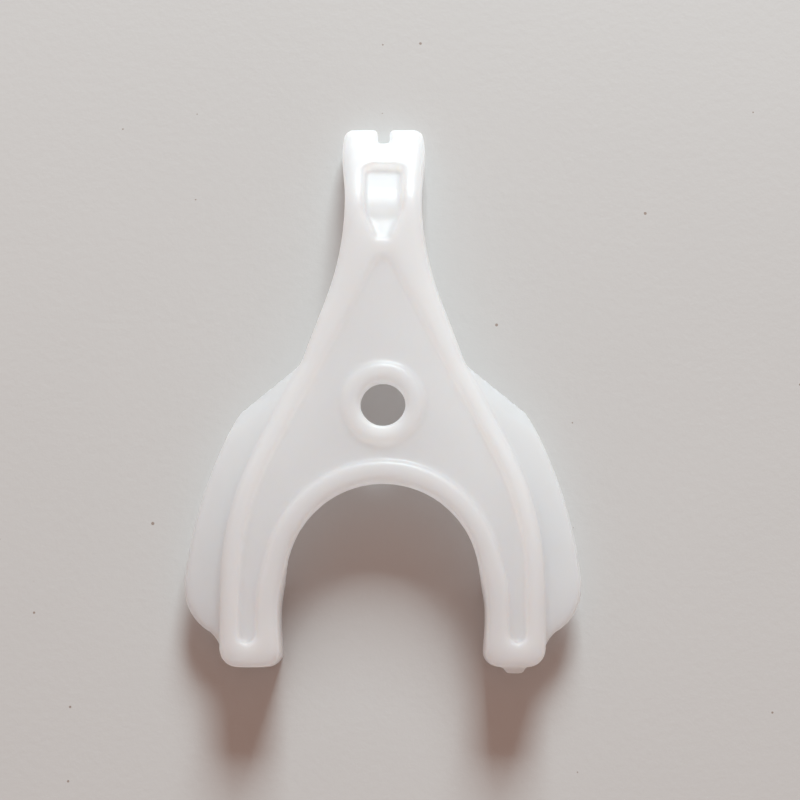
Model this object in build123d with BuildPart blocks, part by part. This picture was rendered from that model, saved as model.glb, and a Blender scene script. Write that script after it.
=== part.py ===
from build123d import *
import math
import os

# Moulded shift fork: one piece of natural polyamide.
# Frame: the pivot bore stands on the origin along Z, the neck runs along +Y
# and the two prongs point along -Y. The plate's lower face is at z = 0; the
# prongs and the neck's tip reach down to the resting plane below it.
# All sizes in millimetres.

# ---- heights ----
rim_z = 3.8          # raised rims and boss above the plate's lower face
web = 1.8            # least thickness of the sunk panel
recess_deep = 1.0    # depth of the sunk panel at the prong tips
recess_shallow = 0.4 # and at its point under the neck
rim_edge = 0.16      # rounding of the rims' edges round the panel
panel_edge = 0.22    # rounding in the foot of the rims
arch_edge = 0.4      # rounding of the arch's upper edge

# ---- pivot boss ----
bore_d = 5.5         # clear for an M5 pin
boss_d = 10.0
bore_edge = 0.35     # rounding of the bore's rims
boss_edge = 0.6      # rounding of the boss's outer rim

# ---- arch and prongs ----
arch_r = 11.6        # seat radius, true arc over the crown
arch_top = -9.5      # crown of the arch
arch_span = 76.7     # half angle of the true arc, measured from the crown
arch_wall = 2.5      # width of the raised rim round the arch
prong_swell = 0.8    # the gap between the prongs is this much wider than the arc, a side
prong_in_y = -24.2
prong_tip_swell = 0.5  # and this much at the tips
prong_out = 19.3     # outer side of a prong
prong_end = -31.4    # tips of the prongs
prong_foot_y = -21.5 # the prongs reach the resting plane up to here
prong_rise_y = -18.7 # and from here on the walls end level with the plate
tip_r_in = 2.0       # rounding of the tip's inner corner
tip_over = 0.1       # how far the corner cuts reach past the prong
tip_r_out = 2.3      # rounding of the tip's outer corner
groove_end = -28.6   # blind end of the groove in a prong
groove_w = 2.25
groove_y = -23.6     # where the groove becomes straight
apex_r = 1.2         # rounding of the panel's point under the neck

# ---- side ribs ----
rib_w = 2.2          # width of a side rib, square to it
side_angle = 27.5    # lean of the ribs from the Y axis, degrees
side_r = 33.0        # radius that turns a rib into the prong
side_end = -21.5     # where that radius ends and the prong runs straight
rib_round = 1.2      # rounding of the ribs' and the neck's outer edges

# ---- neck ----
neck_end = 35.9      # free end of the neck
head_end_half = 4.9  # half width at the end
head_half = 5.2      # widest half width of the head
head_y = 32.6
waist_half = 4.75    # half width at the waist below the head
waist_y = 25.4
neck_lean = 20.5     # lean of the neck's straight taper from the Y axis, degrees
shoulder_y = 5.1     # where the wings begin
bend_y = 23.0        # where the neck starts to bend down
bend_r = 10.0        # radius of the bend, on the upper face
bend_angle = 29.0    # slope of the neck's head, degrees
notch_w = 1.5        # notch in the end
notch_foot = 0.46    # how far the notch reaches past the neck's lower corner
notch_mouth = 0.25   # bevel of its mouth
head_corner = 0.5    # rounding of the head's corners

# ---- pocket in the bend ----
pocket_rim = 1.15    # flat left between the pocket and the neck's rounding at the waist
pocket_y = 30.4      # upper end wall
pocket_taper_y = 23.9
pocket_tail_w = 1.9
pocket_tail_y = 20.2
pocket_depth = 1.2   # the floor follows the bend this far below the surface
pocket_tail_depth = 0.3
pocket_corner = 1.1  # rounding of its upper corners
pocket_edge = 0.2    # rounding of its lip

# ---- wings ----
wing_t = 1.3
wing_fall = 14.0     # outward slope, degrees
wing_step = 0.65     # upper face below the rims where the wing begins
wing_corner = (17.5, -0.75)
wing_side = (21.7, -10.2)
wing_wide = (24.0, -21.0)
wing_lower = (23.3, -24.7)
wing_foot = (20.5, -27.4)
wing_corner_r = 2.0
wing_edge = 0.5      # rounding of the upper edge
wing_edge_low = 0.3
wing_brow = 1.7      # bevel along the shoulder, across
wing_brow_fall = 0.8 # and down
wing_end_y = -29.0   # where the wing runs out on the prong
wing_root = 1.2      # how far the wing reaches into the rib

# ---- moulding marks on the prong tips ----
gate_x = 15.8        # stub of the edge gate, on one prong only
gate_w = 2.4
gate_l = 0.75
gate_t = 1.4
gate_z = -1.0
flash_l = 0.7        # thin fins of flash at the tips' outer corners
flash_w = 0.5
flash_t = 0.25
flash_y = -29.3

# ---- derived places ----
lean = math.radians(side_angle)
bend = math.radians(bend_angle)
arch_cy = arch_top - arch_r
pocket_w = 2 * (waist_half - rib_round - pocket_rim)
prong_in = arch_r + prong_swell
prong_tip_in = arch_r + prong_tip_swell
groove_out = prong_out - rib_w
side_cx = groove_out - side_r
neck_t = rim_z

# the neck bends down until its lower corner is as low as the prongs
bend_end = (bend_y + bend_r * math.sin(bend), rim_z - bend_r * (1 - math.cos(bend)))
head_top_z = bend_end[1] - (neck_end - bend_end[0]) * math.tan(bend)
rest_z = head_top_z - neck_t * math.cos(bend)
foot = (neck_end - neck_t * math.sin(bend), rest_z)
notch_l = neck_end - foot[0] + notch_foot
under_r = bend_r - neck_t
under_end = (bend_y + under_r * math.sin(bend), rim_z - bend_r + under_r * math.cos(bend))
resting = Plane.XY.offset(rest_z)


def on_arch(radius, angle):
    """Point on a circle about the arch's axis, angle measured from the crown."""
    turn = math.radians(angle)
    return (radius * math.sin(turn), arch_cy + radius * math.cos(turn))


def side_point(gap):
    """Where the leaning side meets its arc, gap outside the panel."""
    reach = side_r + gap
    return (side_cx + reach * math.cos(lean), side_end + reach * math.sin(lean))


def side_x(y, gap):
    """Half width of the leaning side at y, gap outside the panel."""
    px, py = side_point(gap)
    return px - (y - py) * math.tan(lean)


# ---- plan of the body, without its arch ----
lean_dir = (math.sin(lean), -math.cos(lean))
shoulder = (side_x(shoulder_y, rib_w), shoulder_y)
slope = math.tan(math.radians(neck_lean))
half_slope = math.tan(math.radians(neck_lean / 2))
flare_y = shoulder[0] + slope * shoulder_y - waist_half - half_slope * waist_y
flare_y = flare_y / (slope - half_slope)
flare_half = waist_half + half_slope * (waist_y - flare_y)
with BuildSketch() as body_plan:
    with BuildLine():
        Line((0, neck_end), (head_end_half, neck_end))
        Spline(
            (head_end_half, neck_end),
            (head_half, head_y),
            (waist_half, waist_y),
            tangents=[(0.12, -1), (0, -1)],
        )
        TangentArc((waist_half, waist_y), (flare_half, flare_y), tangent=(0, -1))
        Line((flare_half, flare_y), shoulder)
        Line(shoulder, side_point(rib_w))
        TangentArc(side_point(rib_w), (prong_out, side_end), tangent=lean_dir)
        Line((prong_out, side_end), (prong_out, prong_end))
        Line((prong_out, prong_end), (0, prong_end))
        Line((0, prong_end), (0, neck_end))
    make_face()
    mirror(about=Plane.YZ)

# ---- plan of the arch's opening ----
flare_dir = (math.cos(math.radians(arch_span)), -math.sin(math.radians(arch_span)))
with BuildSketch() as arch_plan:
    with BuildLine():
        ThreePointArc(on_arch(arch_r, -arch_span), (0, arch_top), on_arch(arch_r, arch_span))
        Spline(
            on_arch(arch_r, arch_span),
            (prong_in, prong_in_y),
            (prong_tip_in, prong_end),
            tangents=[flare_dir, (0, -1)],
        )
        Line((prong_tip_in, prong_end), (prong_tip_in, prong_end - 2))
        Line((prong_tip_in, prong_end - 2), (-prong_tip_in, prong_end - 2))
        Line((-prong_tip_in, prong_end - 2), (-prong_tip_in, prong_end))
        Spline(
            (-prong_tip_in, prong_end),
            (-prong_in, prong_in_y),
            on_arch(arch_r, -arch_span),
            tangents=[(0, 1), (flare_dir[0], -flare_dir[1])],
        )
    make_face()

# ---- plan of the sunk panel and the grooves that run into the prongs ----
groove_in = groove_out - groove_w
groove_cy = groove_end + groove_w / 2
apex_cy = side_point(0)[1] + (side_point(0)[0] - apex_r / math.cos(lean)) / math.tan(lean)
apex_side = (apex_r * math.cos(lean), apex_cy + apex_r * math.sin(lean))
rim_out = arch_r + arch_wall
with BuildSketch() as panel_plan:
    with BuildLine():
        TangentArc((0, apex_cy + apex_r), apex_side, tangent=(1, 0))
        Line(apex_side, side_point(0))
        TangentArc(side_point(0), (groove_out, side_end), tangent=lean_dir)
        Line((groove_out, side_end), (groove_out, groove_cy))
        TangentArc((groove_out, groove_cy), (groove_in, groove_cy), tangent=(0, -1))
        Line((groove_in, groove_cy), (groove_in, groove_y))
        Spline(
            (groove_in, groove_y),
            on_arch(rim_out, arch_span),
            tangents=[(0, 1), (-flare_dir[0], -flare_dir[1])],
        )
        ThreePointArc(
            on_arch(rim_out, arch_span),
            on_arch(rim_out, arch_span / 2),
            (0, arch_top + arch_wall),
        )
        Line((0, arch_top + arch_wall), (0, apex_cy + apex_r))
    make_face()
    mirror(about=Plane.YZ)

# ---- plan of one wing, reaching into the rib that carries it ----
with BuildSketch() as wing_plan:
    with BuildLine():
        Line((shoulder[0] - wing_root, shoulder_y), shoulder)
        Line(shoulder, wing_corner)
        ThreePointArc(wing_corner, wing_side, wing_wide)
        ThreePointArc(wing_wide, wing_lower, wing_foot)
        Line(wing_foot, (prong_out, wing_end_y))
        Line((prong_out, wing_end_y), (prong_out - wing_root, wing_end_y))
        Line((prong_out - wing_root, wing_end_y), (prong_out - wing_root, side_end))
        Line((prong_out - wing_root, side_end), (shoulder[0] - wing_root, shoulder_y))
    make_face()
    fillet(wing_plan.vertices().sort_by_distance(wing_corner)[0], wing_corner_r)
    mirror(about=Plane.YZ)

half_span = prong_out + 1

# ---- body with its rounded ribs ----
with BuildPart() as body:
    with BuildSketch(resting):
        add(body_plan.sketch)
    extrude(amount=rim_z - rest_z)
    with BuildSketch(Plane.YZ.offset(-half_span)):
        with BuildLine():
            Line((prong_end, rest_z), (prong_end, rim_z))
            Line((prong_end, rim_z), (bend_y, rim_z))
            TangentArc((bend_y, rim_z), bend_end, tangent=(1, 0))
            Line(bend_end, (neck_end, head_top_z))
            Line((neck_end, head_top_z), foot)
            Line(foot, under_end)
            TangentArc(under_end, (bend_y, 0), tangent=(-math.cos(bend), math.sin(bend)))
            Line((bend_y, 0), (prong_rise_y, 0))
            Line((prong_rise_y, 0), (prong_foot_y, rest_z))
            Line((prong_foot_y, rest_z), (prong_end, rest_z))
        make_face()
    extrude(amount=2 * half_span, mode=Mode.INTERSECT)
    rims = body.edges().filter_by(lambda e: e.center().Z > rim_z - 0.01 and abs(e.center().X) > 1)
    fillet(rims, rib_round)

# ---- the thin wings, sloping outward, with a bevel along the shoulder ----
wing_drop = math.tan(math.radians(wing_fall))
wing_root_z = rim_z - wing_step
wing_x0 = shoulder[0] - wing_root
wing_x1 = wing_wide[0] + 1
brow_run = Vector(
    wing_corner[0] - shoulder[0],
    wing_corner[1] - shoulder[1],
    (shoulder[0] - wing_corner[0]) * wing_drop,
)
brow_in = Vector(brow_run.Y, -brow_run.X, 0).normalized()
brow_rise = Vector(
    brow_in.X * wing_brow,
    brow_in.Y * wing_brow,
    wing_brow_fall - brow_in.X * wing_brow * wing_drop,
)
brow_foot = (shoulder[0], shoulder[1], wing_root_z - wing_root * wing_drop - wing_brow_fall)
brow = Plane(origin=brow_foot, z_dir=brow_rise.cross(brow_run))
with BuildPart() as wings:
    with BuildSketch(resting):
        add(wing_plan.sketch)
    extrude(amount=rim_z - rest_z)
    with BuildSketch(Plane.XZ.offset(-shoulder_y - 1)):
        with BuildLine():
            Polyline(
                (wing_x0, wing_root_z),
                (wing_x1, wing_root_z - (wing_x1 - wing_x0) * wing_drop),
                (wing_x1, wing_root_z - wing_t - (wing_x1 - wing_x0) * wing_drop),
                (wing_x0, wing_root_z - wing_t),
                close=True,
            )
        make_face()
        mirror(about=Plane.YZ)
    extrude(amount=shoulder_y - wing_end_y + 2, mode=Mode.INTERSECT)
    split(bisect_by=Plane.YZ, keep=Keep.TOP)
    split(bisect_by=brow, keep=Keep.BOTTOM)
    mirror(about=Plane.YZ)

# ---- pocket that runs out of the bend, and the notch in the end ----
pocket_top_z = head_top_z + (neck_end - pocket_y) * math.tan(bend)
pocket_floor = (pocket_y - pocket_depth * math.sin(bend), pocket_top_z - pocket_depth * math.cos(bend))
pocket_lip = (pocket_y + 2 * math.sin(bend), pocket_top_z + 2 * math.cos(bend))
pocket_start = (pocket_tail_y, rim_z - pocket_tail_depth)
pocket_bend = (bend_y, rim_z - pocket_depth)
floor_r = bend_r - pocket_depth
pocket_bent = (bend_y + floor_r * math.sin(bend), rim_z - bend_r + floor_r * math.cos(bend))


def on_end_wall(edge):
    """True for an edge that lies in the pocket's upper end wall."""
    spots = [edge @ t for t in (0.1, 0.9)]
    return all(
        abs((p.Y - pocket_y) * math.cos(bend) - (p.Z - pocket_top_z) * math.sin(bend)) < 0.01
        for p in spots
    )


with BuildPart() as pocket:
    with BuildSketch(resting):
        with BuildLine():
            Polyline(
                (pocket_w / 2, pocket_y + 2),
                (pocket_w / 2, pocket_taper_y),
                (pocket_tail_w / 2, pocket_tail_y),
                (-pocket_tail_w / 2, pocket_tail_y),
                (-pocket_w / 2, pocket_taper_y),
                (-pocket_w / 2, pocket_y + 2),
                close=True,
            )
        make_face()
    extrude(amount=rim_z - rest_z + 1)
    with BuildSketch(Plane.YZ.offset(-pocket_w)):
        with BuildLine():
            Polyline(pocket_lip, (pocket_tail_y, rim_z + 2), pocket_start, pocket_bend)
            TangentArc(pocket_bend, pocket_bent, tangent=(1, 0))
            Polyline(pocket_bent, pocket_floor, pocket_lip)
        make_face()
    extrude(amount=2 * pocket_w, mode=Mode.INTERSECT)
    ends = pocket.edges().filter_by(on_end_wall)
    fillet(ends.filter_by(lambda e: abs(e.center().X) > pocket_w / 2 - 0.01), pocket_corner)
with BuildSketch() as notch:
    with Locations((0, neck_end)):
        Rectangle(notch_w, 2 * notch_l)

# ---- what is cut off the corners of the prong tips ----
with BuildSketch() as tip_plan:
    with Locations((prong_out + tip_over, prong_end - tip_over)):
        Rectangle(tip_r_out + tip_over, tip_r_out + tip_over, align=(Align.MAX, Align.MIN))
    with Locations((prong_out - tip_r_out, prong_end + tip_r_out)):
        Circle(tip_r_out, mode=Mode.SUBTRACT)
    with Locations((prong_tip_in - tip_over, prong_end - tip_over)):
        Rectangle(tip_r_in + tip_over, tip_r_in + tip_over, align=(Align.MIN, Align.MIN))
    with Locations((prong_tip_in + tip_r_in, prong_end + tip_r_in)):
        Circle(tip_r_in, mode=Mode.SUBTRACT)
    mirror(about=Plane.YZ)

# ---- the sunk panel, shallower towards the neck ----
apex_y = apex_cy + apex_r


def floor_z(y):
    """Height of the sunk panel's floor."""
    share = (y - groove_end) / (apex_y - groove_end)
    return rim_z - recess_deep + (recess_deep - recess_shallow) * share


with BuildPart() as sunk:
    add(panel_plan.sketch)
    extrude(amount=rim_z + 1)
    with BuildSketch(Plane.YZ.offset(-half_span)):
        with BuildLine():
            Polyline(
                (prong_end, floor_z(prong_end)),
                (shoulder_y + apex_y, floor_z(shoulder_y + apex_y)),
                (shoulder_y + apex_y, rim_z + 2),
                (prong_end, rim_z + 2),
                close=True,
            )
        make_face()
    extrude(amount=2 * half_span, mode=Mode.INTERSECT)

# ---- the fork ----


def on_outline(edge, plan):
    """True for an edge whose middle is above or below the outline of a plan."""
    mid = edge @ 0.5
    return min(Vertex(mid.X, mid.Y, 0).distance(w) for w in plan.wires()) < 0.01


def at_height(edge, z):
    """True for an edge whose middle is at height z."""
    return abs((edge @ 0.5).Z - z) < 0.01


def on_top(edge):
    """True for an edge whose middle lies on the upper face, level or bent."""
    mid = edge @ 0.5
    z = rim_z
    if mid.Y > bend_end[0]:
        z = head_top_z + (neck_end - mid.Y) * math.tan(bend)
    elif mid.Y > bend_y:
        z = rim_z - bend_r + math.sqrt(bend_r ** 2 - (mid.Y - bend_y) ** 2)
    return abs(mid.Z - z) < 0.01


def on_end(edge):
    """True for an edge that lies in the slanted end of the neck."""
    spots = [edge @ t for t in (0.1, 0.9)]
    return all(
        abs((p.Y - foot[0]) * math.cos(bend) - (p.Z - foot[1]) * math.sin(bend)) < 0.01
        for p in spots
    )


def on_wing(edge, depth):
    """True for an edge of a wing's rim, depth below its upper face."""
    mid = edge @ 0.5
    z = wing_root_z - depth - (abs(mid.X) - wing_x0) * wing_drop
    return abs(mid.Z - z) < 0.02 and on_outline(edge, wing_plan) and abs(mid.X) > shoulder[0]


with BuildPart() as fork_lever:
    add(body.part)
    add(wings.part)
    with BuildSketch(resting):
        add(arch_plan.sketch)
    extrude(amount=rim_z - rest_z + 1, mode=Mode.SUBTRACT)

    round_edges = fork_lever.edges().filter_by(lambda e: on_outline(e, arch_plan))
    fillet(round_edges.filter_by(lambda e: at_height(e, rim_z)), arch_edge)
    with BuildSketch(resting):
        add(tip_plan.sketch)
    extrude(amount=rim_z - rest_z, mode=Mode.SUBTRACT)

    # hollow underside and sunk panel
    with BuildSketch(resting):
        add(panel_plan.sketch)
    extrude(amount=rim_z - recess_deep - web - rest_z, mode=Mode.SUBTRACT)
    add(sunk.part, mode=Mode.SUBTRACT)
    round_edges = fork_lever.edges().filter_by(lambda e: on_outline(e, panel_plan))
    fillet(round_edges.filter_by(lambda e: at_height(e, floor_z((e @ 0.5).Y))), panel_edge)
    round_edges = fork_lever.edges().filter_by(lambda e: on_outline(e, panel_plan))
    fillet(round_edges.filter_by(lambda e: at_height(e, rim_z)), rim_edge)

    # pivot boss
    with BuildSketch():
        Circle(boss_d / 2)
    extrude(amount=rim_z)
    with BuildSketch():
        Circle(bore_d / 2)
    extrude(amount=rim_z, mode=Mode.SUBTRACT)
    rings = fork_lever.edges().filter_by(GeomType.CIRCLE)
    rings = rings.filter_by(lambda e: math.hypot(e.arc_center.X, e.arc_center.Y) < 0.01)
    fillet(rings.filter_by(lambda e: abs(e.radius - bore_d / 2) < 0.01), bore_edge)
    rings = fork_lever.edges().filter_by(GeomType.CIRCLE)
    rings = rings.filter_by(lambda e: abs(e.radius - boss_d / 2) < 0.01)
    fillet(rings.filter_by(lambda e: e.center().Z > rim_z - 0.01), boss_edge)

    # pocket on the bend
    add(pocket.part, mode=Mode.SUBTRACT)
    with BuildSketch(resting):
        add(notch.sketch)
    extrude(amount=rim_z - rest_z, mode=Mode.SUBTRACT)
    lip = fork_lever.edges().filter_by(on_top)
    lip = lip.filter_by(lambda e: abs((e @ 0.5).X) < pocket_w / 2 + 0.05)
    lip = lip.filter_by(lambda e: pocket_tail_y - 0.1 < (e @ 0.5).Y < pocket_y + 0.1)
    fillet(lip, pocket_edge)
    upright = fork_lever.edges().filter_by(on_end).filter_by(lambda e: abs(e.tangent_at(0.5).X) < 0.2)
    fillet(upright.filter_by(lambda e: abs(e.center().X) > head_end_half - 0.4), head_corner)
    upright = fork_lever.edges().filter_by(on_end).filter_by(lambda e: abs(e.tangent_at(0.5).X) < 0.2)
    chamfer(upright.filter_by(lambda e: abs(e.center().X) < notch_w / 2 + 0.01), notch_mouth)

    # wing edges
    upper = fork_lever.edges().filter_by(lambda e: on_wing(e, 0))
    fillet(upper, wing_edge)
    lower = fork_lever.edges().filter_by(lambda e: on_wing(e, wing_t))
    fillet(lower, wing_edge_low)

    # gate stub and flash
    with BuildSketch(Plane.XY.offset(gate_z - gate_t / 2)):
        with Locations((gate_x, prong_end)):
            Trapezoid(gate_w, 2 * gate_l, 86, rotation=180)
    extrude(amount=gate_t)
    with BuildSketch(Plane.XY.offset(gate_z)):
        with BuildLine():
            Polyline(
                (prong_out - 1.5, flash_y - 0.8),
                (prong_out - 0.05, flash_y - 0.3),
                (prong_out + flash_w, flash_y + flash_l),
                (prong_out - 1.5, flash_y + flash_l),
                close=True,
            )
        make_face()
        mirror(about=Plane.YZ)
    extrude(amount=flash_t)

os.makedirs("parts", exist_ok=True)
fork_lever.part.label = "fork_lever"
export_step(fork_lever.part, "parts/fork_lever.step")
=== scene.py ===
"""Look of the moulded fork: natural polyamide on a pale table, by a window."""

import math

import bpy
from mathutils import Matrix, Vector


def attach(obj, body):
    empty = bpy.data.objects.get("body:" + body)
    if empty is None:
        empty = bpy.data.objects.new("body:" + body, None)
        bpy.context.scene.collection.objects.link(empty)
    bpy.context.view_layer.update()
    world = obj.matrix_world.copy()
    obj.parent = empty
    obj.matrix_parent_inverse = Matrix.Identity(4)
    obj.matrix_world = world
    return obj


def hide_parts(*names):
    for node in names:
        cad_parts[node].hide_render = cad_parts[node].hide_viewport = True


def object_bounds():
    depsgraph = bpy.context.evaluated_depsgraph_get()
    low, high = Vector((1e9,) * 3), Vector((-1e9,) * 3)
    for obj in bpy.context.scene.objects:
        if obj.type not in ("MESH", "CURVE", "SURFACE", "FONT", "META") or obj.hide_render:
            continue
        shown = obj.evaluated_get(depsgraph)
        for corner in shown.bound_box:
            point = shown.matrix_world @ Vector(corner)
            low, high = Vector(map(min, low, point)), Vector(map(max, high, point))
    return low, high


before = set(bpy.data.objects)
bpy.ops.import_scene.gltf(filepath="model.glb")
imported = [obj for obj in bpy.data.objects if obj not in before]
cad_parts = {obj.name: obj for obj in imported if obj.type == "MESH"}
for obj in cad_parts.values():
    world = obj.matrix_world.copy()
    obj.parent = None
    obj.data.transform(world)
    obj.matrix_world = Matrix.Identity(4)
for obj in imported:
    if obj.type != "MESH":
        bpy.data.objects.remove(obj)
cad_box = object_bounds()

scene = bpy.context.scene
scene.view_settings.view_transform = "Standard"


# ---------------------------------------------------------------- helpers
def new_material(name):
    """A node material, with its tree and its shader."""
    mat = bpy.data.materials.new(name)
    mat.use_nodes = True
    tree = mat.node_tree
    return mat, tree, tree.nodes["Principled BSDF"]


def node(tree, kind, **values):
    """A node with its inputs set by name."""
    item = tree.nodes.new(kind)
    for key, value in values.items():
        item.inputs[key.replace("_", " ")].default_value = value
    return item


# ---------------------------------------------------------------- materials
def polyamide():
    """Translucent natural polyamide: cloudy white, with a soft moulded gloss."""
    mat, tree, shader = new_material("natural_polyamide")
    link = tree.links.new
    place = tree.nodes.new("ShaderNodeTexCoord")

    # faint flow clouds in the melt
    cloud = node(tree, "ShaderNodeTexNoise", Scale=160.0, Detail=3.0, Roughness=0.55)
    link(place.outputs["Object"], cloud.inputs["Vector"])
    tint = tree.nodes.new("ShaderNodeValToRGB")
    tint.color_ramp.elements[0].position = 0.3
    tint.color_ramp.elements[0].color = (0.92, 0.935, 0.95, 1)
    tint.color_ramp.elements[1].position = 0.7
    tint.color_ramp.elements[1].color = (0.95, 0.965, 0.98, 1)
    link(cloud.outputs["Fac"], tint.inputs["Fac"])
    link(tint.outputs["Color"], shader.inputs["Base Color"])

    # the tool's fine surface, slightly uneven in gloss
    rub = node(tree, "ShaderNodeTexNoise", Scale=420.0, Detail=4.0, Roughness=0.6)
    link(place.outputs["Object"], rub.inputs["Vector"])
    gloss = tree.nodes.new("ShaderNodeMapRange")
    gloss.inputs["From Min"].default_value = 0.3
    gloss.inputs["From Max"].default_value = 0.7
    gloss.inputs["To Min"].default_value = 0.3
    gloss.inputs["To Max"].default_value = 0.42
    link(rub.outputs["Fac"], gloss.inputs["Value"])
    link(gloss.outputs["Result"], shader.inputs["Roughness"])

    # fine grain over shallow sink marks
    grain = node(tree, "ShaderNodeTexNoise", Scale=2600.0, Detail=3.0, Roughness=0.6)
    link(place.outputs["Object"], grain.inputs["Vector"])
    sink = node(tree, "ShaderNodeTexNoise", Scale=110.0, Detail=1.0, Roughness=0.4)
    link(place.outputs["Object"], sink.inputs["Vector"])
    fine = node(tree, "ShaderNodeBump", Strength=0.12, Distance=0.00002)
    link(grain.outputs["Fac"], fine.inputs["Height"])
    wavy = node(tree, "ShaderNodeBump", Strength=0.35, Distance=0.0002)
    link(sink.outputs["Fac"], wavy.inputs["Height"])
    link(fine.outputs["Normal"], wavy.inputs["Normal"])
    link(wavy.outputs["Normal"], shader.inputs["Normal"])

    shader.inputs["IOR"].default_value = 1.53
    shader.inputs["Subsurface Weight"].default_value = 1.0
    shader.inputs["Subsurface Radius"].default_value = (1.0, 0.82, 0.7)
    shader.inputs["Subsurface Scale"].default_value = 0.006

    # part of the light goes right through the thin walls
    through = node(tree, "ShaderNodeBsdfTranslucent", Color=(0.98, 0.985, 0.99, 1))
    blend = node(tree, "ShaderNodeMixShader", Fac=0.57)
    link(wavy.outputs["Normal"], through.inputs["Normal"])
    link(shader.outputs["BSDF"], blend.inputs[1])
    link(through.outputs["BSDF"], blend.inputs[2])
    link(blend.outputs["Shader"], tree.nodes["Material Output"].inputs["Surface"])
    return mat


def table_top():
    """Pale warm laminate with faint specks and a soft mottle."""
    mat, tree, shader = new_material("table_top")
    link = tree.links.new
    place = tree.nodes.new("ShaderNodeTexCoord")
    mottle = node(tree, "ShaderNodeTexNoise", Scale=9.0, Detail=4.0, Roughness=0.55)
    link(place.outputs["Object"], mottle.inputs["Vector"])
    tint = tree.nodes.new("ShaderNodeValToRGB")
    tint.color_ramp.elements[0].position = 0.3
    tint.color_ramp.elements[0].color = (0.525, 0.525, 0.522, 1)
    tint.color_ramp.elements[1].position = 0.7
    tint.color_ramp.elements[1].color = (0.545, 0.545, 0.542, 1)
    link(mottle.outputs["Fac"], tint.inputs["Fac"])

    # sparse dark specks, each in its own cell
    cell = tree.nodes.new("ShaderNodeTexVoronoi")
    cell.voronoi_dimensions = "2D"
    cell.inputs["Scale"].default_value = 210.0
    link(place.outputs["Object"], cell.inputs["Vector"])
    pick = tree.nodes.new("ShaderNodeSeparateColor")
    link(cell.outputs["Color"], pick.inputs["Color"])
    chosen = tree.nodes.new("ShaderNodeMapRange")
    chosen.inputs["From Min"].default_value = 0.93
    chosen.inputs["From Max"].default_value = 1.0
    chosen.inputs["To Max"].default_value = 0.045
    link(pick.outputs["Red"], chosen.inputs["Value"])
    inside = tree.nodes.new("ShaderNodeMath")
    inside.operation = "LESS_THAN"
    link(cell.outputs["Distance"], inside.inputs[0])
    link(chosen.outputs["Result"], inside.inputs[1])
    speck = tree.nodes.new("ShaderNodeMix")
    speck.data_type = "RGBA"
    link(inside.outputs["Value"], speck.inputs["Factor"])
    link(tint.outputs["Color"], speck.inputs["A"])
    speck.inputs["B"].default_value = (0.3, 0.25, 0.22, 1)
    link(speck.outputs["Result"], shader.inputs["Base Color"])

    # fine grain of the laminate
    grain = node(tree, "ShaderNodeTexNoise", Scale=900.0, Detail=5.0, Roughness=0.65)
    link(place.outputs["Object"], grain.inputs["Vector"])
    bump = node(tree, "ShaderNodeBump", Strength=0.25, Distance=0.0001)
    link(grain.outputs["Fac"], bump.inputs["Height"])
    link(bump.outputs["Normal"], shader.inputs["Normal"])
    shader.inputs["Roughness"].default_value = 0.55
    return mat


# ---------------------------------------------------------------- the fork
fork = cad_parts["fork_lever"]
fork.data.materials.clear()
fork.data.materials.append(polyamide())

# a copy whose edges are blended, as a moulding's are, takes the node's place
moulding = fork.copy()
moulding.data = fork.data.copy()
moulding.name = "moulded_fork"
scene.collection.objects.link(moulding)
remesh = moulding.modifiers.new("even", "REMESH")
remesh.mode = "VOXEL"
remesh.voxel_size = 0.00026
remesh.use_smooth_shade = True
smooth = moulding.modifiers.new("blended", "SMOOTH")
smooth.factor = 0.5
smooth.iterations = 10
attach(moulding, "root")
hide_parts("fork_lever")

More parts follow.
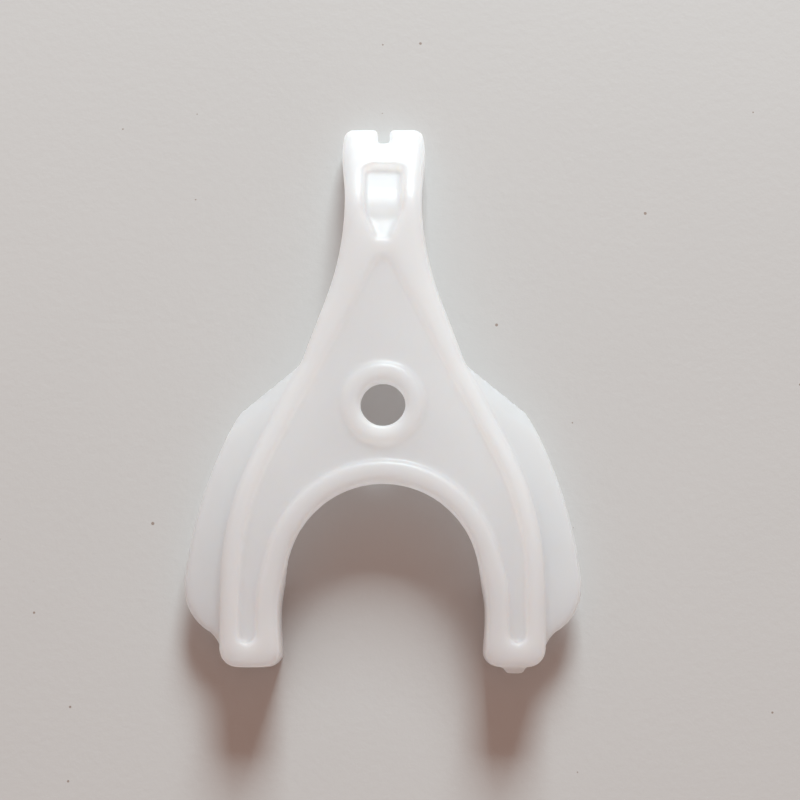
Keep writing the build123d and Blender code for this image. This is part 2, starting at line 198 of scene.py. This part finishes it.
# ---------------------------------------------------------------- the table
low, high = cad_box
bpy.ops.mesh.primitive_plane_add(size=3.0, location=(0, 0, low[2]))
table = bpy.context.object
table.name = "table"
table.data.materials.append(table_top())

# ---------------------------------------------------------------- camera
TILT = math.radians(81.5)  # above the horizon, from the prongs' side
REACH = 0.206              # from the fork's upper face
VIEW_WIDTH = 0.096         # what the picture spans at that face
SENSOR = 36.0              # millimetres
AIM = (0.00206, 0.0003)    # middle of the picture, 2 mm beside the pivot's axis
target = Vector((AIM[0], AIM[1], high[2]))
back = Vector((0, -math.cos(TILT), math.sin(TILT)))
lens = bpy.data.cameras.new("camera")
lens.sensor_width = SENSOR
lens.lens = REACH / VIEW_WIDTH * SENSOR
lens.clip_start = 0.01
camera = bpy.data.objects.new("camera", lens)
camera.location = target + back * REACH
camera.rotation_euler = back.to_track_quat("Z", "Y").to_euler()
scene.collection.objects.link(camera)
scene.camera = camera


# ---------------------------------------------------------------- light
def soft_light(name, direction, distance, size, power, colour):
    """A rectangular soft light aimed at the fork."""
    data = bpy.data.lights.new(name, "AREA")
    data.shape = "RECTANGLE"
    data.size, data.size_y = size
    data.energy = power
    data.color = colour
    lamp = bpy.data.objects.new(name, data)
    way = Vector(direction).normalized()
    lamp.location = way * distance
    lamp.rotation_euler = way.to_track_quat("Z", "Y").to_euler()
    scene.collection.objects.link(lamp)


# a cool window beyond the neck, and a warm dim room all round
WINDOW_HEIGHT = math.radians(30)  # above the horizon
WINDOW_SIDE = (0.12, 0.99)        # its way across the table, nearly along the neck
WINDOW_SIZE = (0.34, 0.4)
window_way = (
    WINDOW_SIDE[0] * math.cos(WINDOW_HEIGHT),
    WINDOW_SIDE[1] * math.cos(WINDOW_HEIGHT),
    math.sin(WINDOW_HEIGHT),
)
soft_light("window", window_way, distance=1.0, size=WINDOW_SIZE, power=14.7, colour=(0.84, 0.97, 1.0))

world = bpy.data.worlds.new("room")
world.use_nodes = True
world.node_tree.nodes["Background"].inputs["Color"].default_value = (1.0, 0.67, 0.56, 1)
world.node_tree.nodes["Background"].inputs["Strength"].default_value = 0.45
scene.world = world
